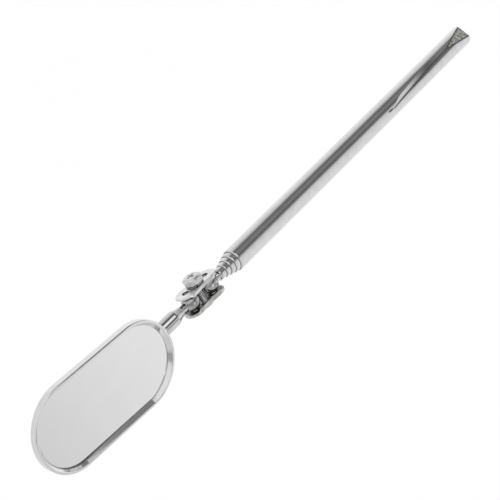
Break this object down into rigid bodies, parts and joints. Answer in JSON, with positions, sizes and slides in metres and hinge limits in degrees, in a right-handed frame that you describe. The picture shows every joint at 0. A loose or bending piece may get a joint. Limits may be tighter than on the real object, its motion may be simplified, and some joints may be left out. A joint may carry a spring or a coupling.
{
  "type": "telescoping inspection mirror",
  "caption": "Oval pocket mirror on a double ball joint with a clamp screw and a telescoping chrome handle, for looking into tight places.",
  "frame": {"origin": "centre of the mirror frame's flat back face", "axes": "+X from the mirror along the handle to its tail, +Z out of the glass, +Y to the side the clamp screw's head is on"},
  "size_m": [0.2401, 0.0312, 0.0088],
  "materials": {
    "tube_chrome": "bright chrome plate",
    "stem_chrome": "bright chrome plate",
    "frame_chrome": "bright chrome plate",
    "polished_ball": "polished steel ball",
    "plated_steel": "satin nickel plate",
    "zinc_screw": "zinc-plated steel",
    "mirror_silver": "silvered glass",
    "sleeve_bronze": "spring bronze",
    "pad_grey": "dark felt"
  },
  "bodies": {
    "handle": {"outer_tube": "tube_chrome"},
    "sleeve_2": {"sleeve_2": "sleeve_bronze"},
    "section_2": {"section_2": "tube_chrome"},
    "sleeve_3": {"sleeve_3": "sleeve_bronze"},
    "section_3": {"section_3": "tube_chrome"},
    "sleeve_4": {"sleeve_4": "sleeve_bronze"},
    "section_4": {"section_4": "tube_chrome"},
    "sleeve_5": {"sleeve_5": "sleeve_bronze"},
    "rod": {"section_5": "tube_chrome", "rod_neck": "stem_chrome"},
    "handle_ball": {"handle_ball": "polished_ball"},
    "clamp": {"clamp_plate_upper": "plated_steel", "clamp_plate_lower": "plated_steel", "clamp_nut": "zinc_screw"},
    "lock_washer": {"lock_washer": "zinc_screw"},
    "clamp_screw": {"clamp_screw": "zinc_screw"},
    "mirror_ball": {"mirror_ball": "polished_ball"},
    "stem_neck": {"stem_neck": "stem_chrome"},
    "mirror_head": {"stem_collar": "stem_chrome", "mirror_frame": "frame_chrome", "backing_pad": "pad_grey", "mirror_glass": "mirror_silver"}
  },
  "joints": [
    {"name": "slide_2", "type": "slide", "parent": "handle", "child": "sleeve_2", "axis": [-1, 0, 0], "range_m": [0, 0.08]},
    {"name": "turn_2", "type": "hinge", "parent": "sleeve_2", "child": "section_2", "pos_m": [0.0668, 0, -0.0019], "axis": [1, 0, 0], "continuous": true},
    {"name": "slide_3", "type": "slide", "parent": "section_2", "child": "sleeve_3", "axis": [-1, 0, 0], "range_m": [0, 0.08]},
    {"name": "turn_3", "type": "hinge", "parent": "sleeve_3", "child": "section_3", "pos_m": [0.0668, 0, -0.0019], "axis": [1, 0, 0], "continuous": true},
    {"name": "slide_4", "type": "slide", "parent": "section_3", "child": "sleeve_4", "axis": [-1, 0, 0], "range_m": [0, 0.08]},
    {"name": "turn_4", "type": "hinge", "parent": "sleeve_4", "child": "section_4", "pos_m": [0.0668, 0, -0.0019], "axis": [1, 0, 0], "continuous": true},
    {"name": "slide_5", "type": "slide", "parent": "section_4", "child": "sleeve_5", "axis": [-1, 0, 0], "range_m": [0, 0.08]},
    {"name": "turn_5", "type": "hinge", "parent": "sleeve_5", "child": "rod", "pos_m": [0.0668, 0, -0.0019], "axis": [1, 0, 0], "continuous": true},
    {"name": "handle_ball_tip", "type": "hinge", "parent": "rod", "child": "handle_ball", "pos_m": [0.0544, 0, -0.0019], "axis": [0, 0.1736, 0.9848], "range_deg": [-8, 8]},
    {"name": "handle_ball_swing", "type": "hinge", "parent": "handle_ball", "child": "clamp", "pos_m": [0.0544, 0, -0.0019], "axis": [0, 0.9848, -0.1736], "range_deg": [-74, 74]},
    {"name": "mirror_ball_swing", "type": "hinge", "parent": "clamp", "child": "mirror_ball", "pos_m": [0.0449, 0, -0.0019], "axis": [0, 0.9848, -0.1736], "range_deg": [-74, 74]},
    {"name": "mirror_ball_tip", "type": "hinge", "parent": "mirror_ball", "child": "stem_neck", "pos_m": [0.0449, 0, -0.0019], "axis": [0, 0.1736, 0.9848], "range_deg": [-8, 8]},
    {"name": "mirror_turn", "type": "hinge", "parent": "stem_neck", "child": "mirror_head", "pos_m": [0.0449, 0, -0.0019], "axis": [1, 0, 0], "continuous": true},
    {"name": "screw_travel", "type": "slide", "parent": "clamp", "child": "lock_washer", "axis": [0, 0.9848, -0.1736], "range_m": [0, 0.001]},
    {"name": "screw_turn", "type": "hinge", "parent": "lock_washer", "child": "clamp_screw", "pos_m": [0.04965, 0, -0.0019], "axis": [0, 0.9848, -0.1736], "range_deg": [0, 720]}
  ],
  "couplings": [
    {"joint": "screw_turn", "follows": "screw_travel", "rad_per_m": 12566}
  ]
}
